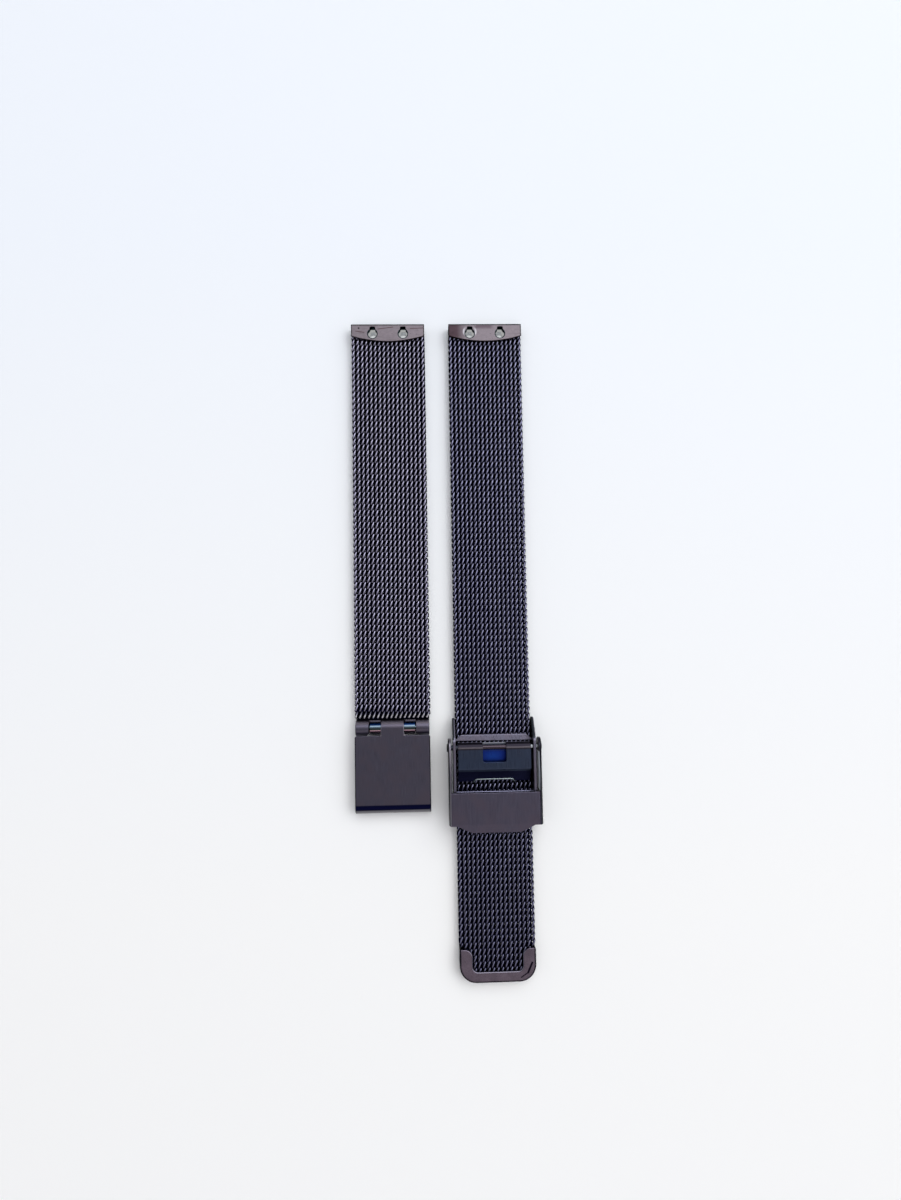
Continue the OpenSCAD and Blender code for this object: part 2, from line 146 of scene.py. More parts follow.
class Finish:
    """A node material with one Principled shader, which reads the piece's own place in millimetres"""

    def __init__(self, name, colour, roughness, metallic=1.0):
        self.material = bpy.data.materials.new(name)
        self.material.use_nodes = True
        self.nodes = self.material.node_tree.nodes
        self.links = self.material.node_tree.links
        self.shader = self.nodes["Principled BSDF"]
        self.shader.inputs["Base Color"].default_value = (*colour, 1)
        self.shader.inputs["Roughness"].default_value = roughness
        self.shader.inputs["Metallic"].default_value = metallic
        self.place = self.nodes.new("ShaderNodeTexCoord").outputs["Object"]

    def stretched(self, x, y, z):
        """The piece's place, with so many pattern cells to the millimetre each way"""
        mapping = self.nodes.new("ShaderNodeMapping")
        mapping.inputs["Scale"].default_value = (x / MM, y / MM, z / MM)
        self.links.new(self.place, mapping.inputs["Vector"])
        return mapping.outputs["Vector"]

    def noise(self, x, y, z, detail=3.0, roughness=0.55):
        noise = self.nodes.new("ShaderNodeTexNoise")
        noise.inputs["Scale"].default_value = 1.0
        noise.inputs["Detail"].default_value = detail
        noise.inputs["Roughness"].default_value = roughness
        self.links.new(self.stretched(x, y, z), noise.inputs["Vector"])
        return noise.outputs["Fac"]

    def ramp(self, source, low, high, low_value, high_value):
        """A grey value that goes from one value to another as the source goes from low to high"""
        node = self.nodes.new("ShaderNodeMapRange")
        node.inputs["From Min"].default_value = low
        node.inputs["From Max"].default_value = high
        node.inputs["To Min"].default_value = low_value
        node.inputs["To Max"].default_value = high_value
        self.links.new(source, node.inputs["Value"])
        return node.outputs["Result"]

    def math(self, operation, a, b):
        node = self.nodes.new("ShaderNodeMath")
        node.operation = operation
        for socket, value in zip(node.inputs, (a, b)):
            if isinstance(value, (int, float)):
                socket.default_value = value
            else:
                self.links.new(value, socket)
        return node.outputs["Value"]

    def off(self, source, middle):
        """How far a value is from a middle, either way"""
        return self.math("ABSOLUTE", self.math("SUBTRACT", source, middle), 0.0)

    def length(self, across, along):
        """The length of a step that goes so far across and so far along"""
        square = self.math("ADD", self.math("MULTIPLY", across, across), self.math("MULTIPLY", along, along))
        return self.math("SQRT", square, 0.0)

    def blend(self, share, colour, other):
        """Colour where share is 0, other where it is 1; both may be plain colours or sockets"""
        node = self.nodes.new("ShaderNodeMix")
        node.data_type = "RGBA"
        self.links.new(share, node.inputs["Factor"])
        for name, value in (("A", colour), ("B", other)):
            socket = [s for s in node.inputs if s.name == name and s.type == "RGBA"][0]
            if isinstance(value, tuple):
                socket.default_value = (*value, 1)
            else:
                self.links.new(value, socket)
        return [s for s in node.outputs if s.type == "RGBA"][0]

    def mottled(self, source, reach, colour, darker, lighter):
        """A colour that goes from darker to lighter as the source goes through its reach"""
        share = self.ramp(source, *reach, 0.0, 1.0)
        return self.blend(share, tinted(colour, darker), tinted(colour, lighter))

    def shaded(self, colour, by):
        """A colour, made darker or lighter by a grey value"""
        node = self.nodes.new("ShaderNodeVectorMath")
        node.operation = "SCALE"
        self.links.new(colour, node.inputs["Vector"])
        self.links.new(by, node.inputs["Scale"])
        return node.outputs["Vector"]

    def paint(self, colour):
        self.links.new(colour, self.shader.inputs["Base Color"])

    def rough(self, value):
        self.links.new(value, self.shader.inputs["Roughness"])

    def glow(self, strength, colour):
        self.links.new(strength, self.shader.inputs["Emission Strength"])
        self.shader.inputs["Emission Color"].default_value = (*colour, 1)

    def relief(self, height, depth):
        """Fine relief of that depth in millimetres"""
        bump = self.nodes.new("ShaderNodeBump")
        bump.inputs["Strength"].default_value = 1.0
        bump.inputs["Distance"].default_value = depth * MM
        self.links.new(height, bump.inputs["Height"])
        self.links.new(bump.outputs["Normal"], self.shader.inputs["Normal"])

    def axis(self, which):
        """The piece's place along one axis, in millimetres"""
        split = self.nodes.new("ShaderNodeSeparateXYZ")
        self.links.new(self.place, split.inputs["Vector"])
        return self.math("MULTIPLY", split.outputs[which], 1 / MM)

    def patch(self, low, high, soft=0.1):
        """1 between two corners, in millimetres, and 0 outside them, with a soft edge"""
        shares = []
        for name, least, most in zip("XYZ", low, high):
            off = self.off(self.axis(name), (least + most) / 2)
            half = (most - least) / 2
            shares.append(self.ramp(off, half - soft, half + soft, 1.0, 0.0))
        return self.math("MULTIPLY", self.math("MULTIPLY", shares[0], shares[1]), shares[2])

    def from_axis(self, x, y):
        """How far the piece's place is from an upright axis, in millimetres"""
        across = self.math("SUBTRACT", self.axis("X"), x)
        along = self.math("SUBTRACT", self.axis("Y"), y)
        return self.length(across, along)

    def facing(self, which):
        """How far the piece's surface faces along one of its own axes, from -1 to 1"""
        split = self.nodes.new("ShaderNodeSeparateXYZ")
        self.links.new(self.nodes.new("ShaderNodeTexCoord").outputs["Normal"], split.inputs["Vector"])
        return split.outputs[which]

    def leaning(self, low=0.8, high=0.96):
        """1 on walls and rounded edges, 0 on faces that lie flat"""
        return self.ramp(self.math("ABSOLUTE", self.facing("Z"), 0.0), low, high, 1.0, 0.0)

    def scratch(self, start, end, width):
        """1 along a straight scratch between two places, seen from above, in millimetres"""
        run = Vector(end) - Vector(start)
        across = self.math("SUBTRACT", self.axis("X"), start[0])
        along = self.math("SUBTRACT", self.axis("Y"), start[1])
        run_x = self.math("MULTIPLY", across, run.x)
        run_y = self.math("MULTIPLY", along, run.y)
        share = self.ramp(self.math("ADD", run_x, run_y), 0.0, run.length_squared, 0.0, 1.0)
        off_x = self.math("SUBTRACT", across, self.math("MULTIPLY", share, run.x))
        off_y = self.math("SUBTRACT", along, self.math("MULTIPLY", share, run.y))
        return self.ramp(self.length(off_x, off_y), width / 2, width, 1.0, 0.0)


def tinted(colour, by):
    return tuple(c * by for c in colour)


# Nearly the whole reach of a noise, and its middle
WIDE = (0.3, 0.7)
MIDDLE = (0.35, 0.65)

# Colours that several pieces share
# Navy painted shade where a face turns away from the light
NAVY_PAINTED_SHADE = (0.004, 0.005, 0.03)
# Painted shade on side edges and walls
EDGE_PAINTED_SHADE = (0.012, 0.012, 0.018)
# Painted highlight along edges
EDGE_PAINTED_HIGHLIGHT = (0.22, 0.21, 0.24)
# Painted glint, not metallic
PAINTED_GLINT = (0.7, 0.77, 0.84)
PLUM_COLOUR = (0.084, 0.081, 0.113)
# Painted highlight on the hinge's knuckles
KNUCKLE_PAINTED_HIGHLIGHT = (0.19, 0.17, 0.205)
# The white table, beyond the watch's ends of the straps and below their tips
FAR_TABLE = (0.89, 0.945, 1.0)
NEAR_TABLE = (0.945, 0.965, 0.96)
# Strength of the painted glow by which the table shows pale through the keyholes
KEYHOLE_GLOW = 0.4

# How far a painted patch runs past the edge of its piece
PAST = 1.0
TOP = cap_high.z + PAST
# A patch that begins at this height leaves out the bottom sheets
UPPER = 1.0
# A patch that begins at this height holds only what stands over the mesh
OVER_MESH = 3.0
# The painted highlight on the watch's side of the hinge's knuckles: from and to there, and above that height
SHINE_FROM = BAR_Y + 0.72
SHINE_TO = BAR_Y + 1.22
SHINE_LOW = 0.6


def wire_finish():
    """Drawn and plated wire with random wear. The crests keep the plating's colour. There is dark blue
    painted shade in the depth of the weave, painted shade towards the long strap's tip, painted light towards
    the short strap's hinge, and a painted highlight on its cut row
    """
    colour = (0.41, 0.4, 0.54)
    long_colour = (0.39, 0.395, 0.595)
    # Painted highlight on the short strap's cut row
    cut_painted_highlight = (0.62, 0.62, 0.67)
    # Painted shade in the depth of the weave
    depth_painted_shade = (0.0008, 0.0008, 0.012)
    glint_tint = (0.0, 0.0, 0.05)
    # How much each strap is painted lighter or darker at its two ends: painted light towards the short
    # strap's hinge, painted shade towards the long strap's tip
    short_painted_light = (0.96, 1.06)
    long_painted_shade = (0.73, 0.57)
    # Distances from the mesh's middle plane between which the painted shade of the depth turns into the
    # crest's colour
    depth_end, crest_start = 0.53, 0.64
    cut_row = WATCH_END + SHORT_END
    cut_len = 0.7
    finish = Finish("plated_wire", colour, 0.36)
    # Painted shade towards the long strap's tip and painted light towards the short strap's hinge
    painted_shade_to_tip = finish.ramp(finish.axis("Y"), WATCH_END, tip_low.y, *long_painted_shade)
    on_long = finish.ramp(finish.axis("X"), short_high.x, long_low.x, 0.0, 1.0)
    painted_light_to_hinge = finish.ramp(finish.axis("Y"), WATCH_END, cut_row, *short_painted_light)
    off_short = finish.math("MULTIPLY", on_long, finish.math("SUBTRACT", painted_shade_to_tip, painted_light_to_hinge))
    painted_light_and_shade = finish.math("ADD", off_short, painted_light_to_hinge)
    wear = finish.ramp(finish.noise(1.1, 1.0, 0.6, detail=2.0), *WIDE, 0.78, 1.2)
    # Random wear, times the painted light and shade along the straps
    worn = finish.shaded(finish.blend(on_long, colour, long_colour), finish.math("MULTIPLY", painted_light_and_shade, wear))
    height = finish.off(finish.axis("Z"), MID_Z)
    # The cut row's painted highlight
    cut = finish.patch((short_low.x, cut_row, 0.0), (short_high.x, cut_row + cut_len, short_high.z))
    crest = finish.blend(cut, worn, cut_painted_highlight)
    # The depth's painted shade under the crest's colour
    finish.paint(finish.blend(finish.ramp(height, depth_end, crest_start, 0.0, 1.0), depth_painted_shade, crest))
    finish.shader.inputs["Specular Tint"].default_value = (*glint_tint, 1)
    finish.rough(finish.ramp(finish.noise(4, 4, 4), *WIDE, 0.28, 0.42))
    finish.relief(finish.noise(12, 6, 12), 0.002)
    return finish.material


# Sheet metal of hinge and clasp

def brushed_finish(name, colour, roughness=0.35, patches=(), painted_glints=()):
    """Satin sheet, brushed along the band, with painted shade on faces that turn sideways.

    A patch is its lowest and its highest corner, its colour and how soft its edge is.
    A painted glint is the same, and not metallic.
    """
    finish = Finish(name, colour, roughness)
    streaks = finish.noise(14.0, 0.5, 14.0, detail=4.0)
    clouds = finish.noise(0.45, 0.35, 0.45, detail=4.0)
    tone = finish.mottled(streaks, WIDE, colour, 0.86, 1.14)
    warm = (colour[0] * 1.1, colour[1] * 1.02, colour[2] * 0.98)
    tone = finish.blend(finish.ramp(clouds, 0.42, 0.68, 0.0, 1.0), tone, warm)
    # Painted shade on faces that turn sideways
    sideways_painted_shade = finish.ramp(finish.math("ABSOLUTE", finish.facing("X"), 0.0), 0.25, 0.5, 0.0, 1.0)
    tone = finish.blend(sideways_painted_shade, tone, tinted(colour, 0.2))
    for low, high, patch_colour, soft in patches:
        tone = finish.blend(finish.patch(low, high, soft), tone, patch_colour)
    glint_share = 0.0
    # Painted glints, which are not metallic
    for low, high, glint_colour, soft in painted_glints:
        glint_mask = finish.patch(low, high, soft)
        tone = finish.blend(glint_mask, tone, glint_colour)
        glint_share = finish.math("ADD", glint_share, glint_mask)
    if painted_glints:
        finish.links.new(finish.math("SUBTRACT", 1.0, glint_share), finish.shader.inputs["Metallic"])
    finish.paint(tone)
    finish.rough(finish.ramp(streaks, *WIDE, roughness - 0.06, roughness + 0.06))
    finish.relief(streaks, 0.003)
    return finish.material


def clip_finish():
    """Hinge clip: a painted highlight on its knuckles, and black painted shade on the flange under the mesh
    """
    flange_painted_shade = (0.003, 0.003, 0.008)
    flange_from, flange_to = BAR_Y + 1.05, BAR_Y + 5.0
    left, right = plate_low.x - PAST, plate_high.x + PAST
    return brushed_finish("clip_plum", PLUM_COLOUR, patches=(
        # Painted highlight on the knuckles
        ((left, SHINE_FROM, SHINE_LOW), (right, SHINE_TO, TOP), KNUCKLE_PAINTED_HIGHLIGHT, 0.08),
        # Painted shade on the flange under the mesh
        ((left, flange_from, -PAST), (right, flange_to, SHINE_LOW), flange_painted_shade, 0.05)))


def plate_finish():
    """Hook plate: painted shade on its sides, a painted highlight on its knuckle and along the knuckle's
    sides, and a pale painted reflection and a dark line of painted shade at its hook
    """
    hook_painted_reflection = (0.15, 0.145, 0.16)
    left, right, hook = plate_low.x, plate_high.x, plate_low.y
    side_w, side_end = 0.14, BAR_Y - 1.3
    highlight_in, highlight_out = 1.76, 1.95
    highlight_from, highlight_to = BAR_Y - 1.15, BAR_Y + 0.5
    dark_in, dark_from, dark_to = 0.1, hook + 0.66, hook + 1.44
    return brushed_finish("satin_plum", PLUM_COLOUR, patches=(
        # Painted shade on both sides
        ((left - PAST, hook - PAST, -PAST), (left + side_w, side_end, TOP), EDGE_PAINTED_SHADE, 0.04),
        ((right - side_w, hook - PAST, -PAST), (right + PAST, side_end, TOP), EDGE_PAINTED_SHADE, 0.04),
        # Painted highlights beside the knuckle
        ((PLATE_X - highlight_out, highlight_from, UPPER), (PLATE_X - highlight_in, highlight_to, TOP), EDGE_PAINTED_HIGHLIGHT, 0.04),
        ((PLATE_X + highlight_in, highlight_from, UPPER), (PLATE_X + highlight_out, highlight_to, TOP), EDGE_PAINTED_HIGHLIGHT, 0.04),
        # Painted highlight on the knuckle
        ((PLATE_X - highlight_in, SHINE_FROM, SHINE_LOW), (PLATE_X + highlight_in, SHINE_TO, TOP), KNUCKLE_PAINTED_HIGHLIGHT, 0.08),
        # Pale painted reflection and dark painted shade at the hook
        ((left + side_w, hook - PAST, UPPER), (right - side_w, hook + PAST, TOP), hook_painted_reflection, 0.04),
        ((left + dark_in, dark_from, UPPER), (right - dark_in, dark_to, TOP), NAVY_PAINTED_SHADE, 0.06)))


def cap_finish():
    """Fold cap: painted shade on its walls, a painted highlight along the left wall and a painted glint along
    the right wall
    """
    left, right = cap_low.x, cap_high.x
    near, far = cap_low.y - PAST, cap_high.y + PAST
    left_dark, right_dark = left + 0.16, right - 0.36
    highlight_from, highlight_to, highlight_near = left + 0.2, left + 0.36, cap_low.y + 0.3
    glint_from, glint_to = right - 0.85, right - 0.4
    glint_near, glint_far, glint_low = PIN_Y - 6.5, PIN_Y - 0.6, 1.3
    return brushed_finish("satin_cap", (0.091, 0.086, 0.124), patches=(
        # Painted shade on both walls and a painted highlight along the left wall
        ((left - PAST, near, 0.0), (left_dark, far, TOP), EDGE_PAINTED_SHADE, 0.05),
        ((highlight_from, highlight_near, OVER_MESH), (highlight_to, far, TOP), EDGE_PAINTED_HIGHLIGHT, 0.05),
        ((right_dark, near, 0.0), (right + PAST, far, TOP), EDGE_PAINTED_SHADE, 0.05),
        ), painted_glints=(
        # A painted glint along the right wall
        ((glint_from, glint_near, glint_low), (glint_to, glint_far, TOP), PAINTED_GLINT, 0.04),))


def lock_finish():
    """Lock plate: a navy lip of painted shade, painted shade on its back and knuckles with one painted
    highlight along them, a deep blue window and a painted highlight on the edge past the pin
    """
    top_painted_shade = (0.032, 0.03, 0.04)
    back_painted_shade = (0.02, 0.018, 0.026)
    knuckle_painted_highlight = (0.17, 0.155, 0.18)
    deep_blue = (0.012, 0.03, 0.22)
    bright_blue = (0.015, 0.068, 0.36)
    leg_painted_highlight = (0.35, 0.37, 0.42)
    left, right = LONG_X - 7.0, LONG_X + 7.0
    lip_end = lock_low.y + 1.88
    line_from, line_to = PIN_Y - 0.09, PIN_Y + 0.12
    window_left, window_right = LONG_X - 2.0, LONG_X + 2.0
    window_top = PIN_Z - 0.3
    return brushed_finish("slate_sheet", (0.041, 0.056, 0.095), roughness=0.32, patches=(
        # Painted shade on the lip
        ((left, lock_low.y - PAST, UPPER), (right, lip_end, TOP), NAVY_PAINTED_SHADE, 0.06),
        # Painted shade on the knuckles and back, with one painted highlight
        ((left, PIN_Y - 0.3, OVER_MESH), (right, PIN_Y + 0.3, TOP), top_painted_shade, 0.08),
        ((left, line_to, OVER_MESH), (right, PIN_Y + 1.5, TOP), back_painted_shade, 0.08),
        ((left, line_from, OVER_MESH), (right, line_to, TOP), knuckle_painted_highlight, 0.05),
        ((window_left, PIN_Y - 2.3, UPPER), (window_right, PIN_Y - 0.45, window_top), deep_blue, 0.1),
        ((LONG_X - 1.3, PIN_Y - 2.1, UPPER), (LONG_X + 0.9, PIN_Y - 0.9, window_top), bright_blue, 0.6),
        # Painted highlight on the edge past the pin
        ((window_left, PIN_Y + 0.5, UPPER), (window_right, PIN_Y + 0.9, PIN_Z + 0.2), leg_painted_highlight, 0.1)))


def channel_finish():
    """Slider channel: a painted highlight on the rear bridge's edge and painted shade on the ears in front of
    the pin
    """
    bridge_edge_highlight = (0.25, 0.25, 0.37)
    ear_painted_shade = (0.025, 0.03, 0.035)
    left, right, front = channel_low.x, channel_high.x, channel_high.y + PAST
    arm_in = 0.5
    edge_from, edge_to = PIN_Y - 7.45, PIN_Y - 6.8
    ear_from = PIN_Y + 1.3
    return brushed_finish("channel_sheet", (0.158, 0.154, 0.21), roughness=0.3, patches=(
        # Painted highlight on the rear bridge's edge, painted shade on the ears
        ((left + arm_in, edge_from, UPPER), (right - arm_in, edge_to, TOP), bridge_edge_highlight, 0.05),
        ((left - PAST, ear_from, UPPER), (left + 0.26, front, TOP), ear_painted_shade, 0.05),
        ((right - arm_in, ear_from, UPPER), (right - 0.12, front, TOP), ear_painted_shade, 0.05)))


def pin_finish():
    """Pivot pin: painted light in mauve where it shows in the lock plate's window, and painted glints on both
    sides of the right arm
    """
    window_painted_light = (0.065, 0.053, 0.068)
    left, right = LONG_X - 2.0, LONG_X + 2.0
    near, glint_near, glint_far = PIN_Y - 1.0, PIN_Y - 0.2, PIN_Y + 0.3
    clear, wall = 0.02, 0.5
    return brushed_finish("dark_pin", (0.035, 0.04, 0.055), roughness=0.25, patches=(
        # Painted light where the pin shows in the window
        ((left, near, UPPER), (right, PIN_Y + 1.0, TOP), window_painted_light, 0.1),
        ), painted_glints=(
        # Painted glints beside the right arm
        ((lock_high.x + clear, glint_near, PIN_Z), (channel_high.x - wall, glint_far, TOP), PAINTED_GLINT, 0.05),
        ((channel_high.x + clear, glint_near, PIN_Z), (cap_high.x - wall, glint_far, TOP), PAINTED_GLINT, 0.05)))


# End caps

MAUVE_COLOUR = (0.162, 0.141, 0.16)
# Faint scratches on the short strap's end cap, from where to where
SCRATCHES = (((-10.3, 51.85), (-7.9, 52.15)), ((-5.0, 51.9), (-2.9, 52.0)), ((-14.0, 51.5), (-12.6, 51.3)))
SCRATCH_W = 0.09


def with_stains(finish, tone):
    """A brown stain and a smear on the long strap's end cap, a nick and scratches on the short strap's"""
    stain_low = (long_low.x - PAST, long_low.y, 0.0)
    stain_high = (long_low.x + 2.2, WATCH_END + PAST, long_high.z + PAST)
    tone = finish.blend(finish.patch(stain_low, stain_high, soft=0.8), tone, (0.052, 0.035, 0.043))
    smear_low = (LONG_X - 1.6, WATCH_END - 0.75, 0.0)
    smear_high = (LONG_X + 1.2, WATCH_END - 0.3, long_high.z + PAST)
    tone = finish.blend(finish.patch(smear_low, smear_high, soft=0.3), tone, (0.07, 0.05, 0.065))
    nick = finish.from_axis(short_low.x + 1.26, WATCH_END - 0.74)
    tone = finish.blend(finish.ramp(nick, 0.1, 0.2, 1.0, 0.0), tone, tinted(MAUVE_COLOUR, 0.1))
    for start, end in SCRATCHES:
        tone = finish.blend(finish.scratch(start, end, SCRATCH_W), tone, (0.07, 0.045, 0.05))
    return tone


def with_worn_ring(finish, tone):
    """A pale ring that a stud has worn beside the long strap's left keyhole"""
    ring_r = 1.0
    ring_y = KEYHOLE_Y + 0.3
    ring = finish.from_axis(LONG_X - KEYHOLE_X, ring_y)
    on_ring = finish.ramp(finish.off(ring, ring_r), 0.05, 0.2, 1.0, 0.0)
    level = finish.off(finish.axis("Y"), ring_y)
    beside = finish.math("MULTIPLY", on_ring, finish.ramp(level, 0.35, 0.8, 1.0, 0.0))
    return finish.blend(beside, tone, (0.32, 0.31, 0.34))


def with_painted_edge_shade(finish, tone):
    """Painted shade along the end caps' sides and watch ends"""
    side_w, fold_w = 0.14, 0.28
    near, top = short_low.y - PAST, short_high.z + PAST
    for middle in MID_X.values():
        edge_low = (middle - HALF_W + side_w, near, -PAST)
        edge_high = (middle + HALF_W - side_w, WATCH_END - fold_w, top)
        inside = finish.patch(edge_low, edge_high, soft=0.05)
        cap_far_left = (middle - HALF_W - PAST, near, -PAST)
        cap_far_right = (middle + HALF_W + PAST, WATCH_END + PAST, top)
        own_half = finish.patch(cap_far_left, cap_far_right)
        # Painted shade along the folds
        tone = finish.blend(finish.math("SUBTRACT", own_half, inside), tone, tinted(MAUVE_COLOUR, 0.08))
    return tone


def with_keyholes(finish, tone):
    """A dark ring of painted shade round each keyhole, and walls with painted shade at the top and a painted
    glow lower down, in place of the table's light
    """
    hole_painted_shade = (0.01, 0.02, 0.025)
    wall = (0.2, 0.6)
    near_holes = 0.0
    depth = finish.math("SUBTRACT", short_high.z, finish.axis("Z"))
    past_bore = finish.math("SUBTRACT", finish.axis("Y"), KEYHOLE_Y)
    deep = finish.math("SUBTRACT", depth, finish.ramp(past_bore, 0.6, 0.9, 0.45, 1.05))
    for x, y in KEYHOLES:
        bore = finish.from_axis(x, y)
        near_holes = finish.math("ADD", near_holes, finish.ramp(bore, 1.25, 1.35, 1.0, 0.0))
        # Painted shade round the keyhole
        tone = finish.blend(finish.ramp(bore, 0.84, 0.9, 1.0, 0.0), tone, hole_painted_shade)
    # Painted glow on the lower walls, painted shade on the upper walls
    painted_glow_share = finish.math("MULTIPLY", finish.leaning(*wall), finish.ramp(deep, 0.0, 0.25, 0.0, 1.0))
    painted_glow_share = finish.math("MULTIPLY", painted_glow_share, near_holes)
    tone = finish.blend(finish.math("MULTIPLY", near_holes, finish.leaning(*wall)), tone, hole_painted_shade)
    finish.glow(finish.math("MULTIPLY", painted_glow_share, KEYHOLE_GLOW), NEAR_TABLE)
    return tone


def mauve_finish():
    """Pressed and handled sheet of the end caps: mottled, with faint scratches, specks and stains, painted
    shade along the folds and round the keyholes, and a painted glow inside them
    """
    colour = MAUVE_COLOUR
    finish = Finish("mottled_mauve", colour, 0.4)
    finish.shader.inputs["Specular Tint"].default_value = (0.2, 0.2, 0.2, 1)
    clouds = finish.noise(1.3, 1.6, 1.3, detail=5.0, roughness=0.7)
    scratches = finish.noise(0.35, 4.5, 0.35, detail=3.0, roughness=0.6)
    specks = finish.noise(3.5, 3.5, 3.5, detail=1.0)
    mottled = finish.mottled(clouds, MIDDLE, colour, 0.8, 1.15)
    scratched = finish.blend(finish.ramp(scratches, 0.6, 0.68, 0.0, 0.5), mottled, tinted(colour, 0.45))
    tone = finish.blend(finish.ramp(specks, 0.72, 0.76, 0.0, 0.7), scratched, tinted(colour, 0.2))
    tone = with_stains(finish, tone)
    tone = with_worn_ring(finish, tone)
    tone = with_painted_edge_shade(finish, tone)
    tone = with_keyholes(finish, tone)
    finish.paint(tone)
    finish.rough(finish.ramp(clouds, *WIDE, 0.34, 0.5))
    finish.relief(clouds, 0.006)
    return finish.material


# The gouge on the tip cap, from its right and lower edges: from where to where, and how wide
GOUGES = (((-2.4, 0.72), (-1.3, 1.45), 0.11), ((-1.35, 1.4), (-0.65, 2.9), 0.2))


def tip_finish():
    """Semi-gloss sheet of the tip cap, with black painted shade on its outer rim, a pale painted highlight on
    its inner edge, and a gouge
    """
    colour = (0.122, 0.104, 0.137)
    rim_painted_shade = (0.004, 0.004, 0.01)
    inner_painted_highlight = (0.22, 0.21, 0.26)
    gouge_black = (0.004, 0.002, 0.009)
    rim_from, rim_full = TIP_CORNER - 0.32, TIP_CORNER - 0.2
    window_in, window_far = 0.9, 0.4
    finish = Finish("semi_gloss_mauve", colour, 0.25)
    clouds = finish.noise(0.6, 0.6, 0.6, detail=3.0)
    tone = finish.mottled(clouds, MIDDLE, colour, 0.85, 1.12)
    across = finish.off(finish.axis("X"), LONG_X)
    off_x = finish.math("MAXIMUM", finish.math("SUBTRACT", across, HALF_W - TIP_CORNER), 0.0)
    off_y = finish.math("MAXIMUM", finish.math("SUBTRACT", tip_low.y + TIP_CORNER, finish.axis("Y")), 0.0)
    # Painted shade on the outer rim
    rim = finish.ramp(finish.length(off_x, off_y), rim_from, rim_full, 0.0, 1.0)
    tone = finish.blend(rim, tone, rim_painted_shade)
    window_low = (LONG_X - HALF_W + window_in, tip_low.y + window_in, tip_high.z - 0.3)
    window_high = (LONG_X + HALF_W - window_in, tip_high.y - window_far, tip_high.z + 0.1)
    # Painted highlight on the inner edge
    inner_rim = finish.math("MULTIPLY", finish.leaning(), finish.patch(window_low, window_high))
    tone = finish.blend(inner_rim, tone, inner_painted_highlight)
    for start, end, width in GOUGES:
        gouge = finish.scratch((long_high.x + start[0], tip_low.y + start[1]),
                               (long_high.x + end[0], tip_low.y + end[1]), width)
        tone = finish.blend(gouge, tone, gouge_black)
    finish.paint(tone)
    finish.rough(finish.ramp(finish.noise(5, 5, 5), *WIDE, 0.2, 0.32))
    finish.relief(finish.noise(2, 2, 2), 0.002)
    return finish.material


# Bands of painted reflection along the spring bar, from its top line: where each begins, where it is full,
# its colour
BAR_PAINTED_REFLECTIONS = ((0.02, 0.1, (0.105, 0.145, 0.185)), (0.42, 0.5, (0.006, 0.03, 0.13)),
             (-0.26, -0.34, (0.6, 0.39, 0.47)), (-0.66, -0.74, (0.004, 0.006, 0.03)))


def polished_finish():
    """Polished and plated spring bar, finely turned, with bands of painted reflection, blue towards the watch
    and brown towards the clasp
    """
    colour = (0.04, 0.055, 0.055)
    finish = Finish("polished_bar", colour, 0.12)
    rings = finish.noise(18, 0.2, 0.2, detail=3.0)
    tone = finish.mottled(rings, MIDDLE, colour, 0.9, 1.08)
    off_top = finish.math("SUBTRACT", finish.axis("Y"), BAR_Y)
    for start, full, reflection_colour in BAR_PAINTED_REFLECTIONS:
        # Bands of painted reflection
        tone = finish.blend(finish.ramp(off_top, start, full, 0.0, 1.0), tone, reflection_colour)
    finish.paint(tone)
    finish.rough(finish.ramp(rings, *WIDE, 0.08, 0.16))
    return finish.material


def rim_finish():
    """Bare edge, rubbed bright"""
    colour = (0.30, 0.36, 0.37)
    finish = Finish("rubbed_rim", colour, 0.38)
    rubs = finish.noise(2.0, 2.0, 2.0)
    finish.paint(finish.mottled(rubs, MIDDLE, colour, 0.8, 1.15))
    return finish.material


# The woven wire

WIRE_R = 0.175
ROW_PITCH = 0.98
COLUMN_PITCH = 0.71
FIRST_ROW = 2.02
EDGE = HALF_W - WIRE_R
# How far the rows lean along each strap, for each millimetre to the right
ROW_SLANT = {"short": -0.03, "long": 0.017}
# Half a turn of a coil, pressed flat: places along the strap and heights above its middle plane
HALF_TURN = ((-0.62, 0.0), (-0.575, 0.32), (-0.43, 0.452), (0.0, 0.475), (0.43, 0.452), (0.575, 0.32))
WAVE_Y = 0.62
CREST_Z = 0.475
# How far the outer strokes lean to each side; the inner strokes take up the rest of the pitch
OUTER_LEAN = 0.24
INNER_LEAN = COLUMN_PITCH / 2 - OUTER_LEAN
# The inner strokes are wider than the outer ones and lie closer to the middle, which closes the weave
INNER_SPREAD = 1.25
INNER_DEPTH = 0.9
# The share of a column by which a coil's cut end is pressed in at the strap's edge
END_PRESS = 0.4

# The depth of an end cap's solid root, and how many rows are pressed back from it and from the keyholes
CAP_ROOT = 1.37
CAP_ROWS = 2
# The cut row stands up by this much, and falls by this share of a millimetre for each one away from the cut
CUT_RISE = 0.03
CUT_FALL = 0.12
# How many rows may meet the tip cap's round corners, and where its lower wall stops the wire
TIP_ROWS = 6
TIP_END = tip_low.y - WATCH_END + TIP_WALL + WIRE_R


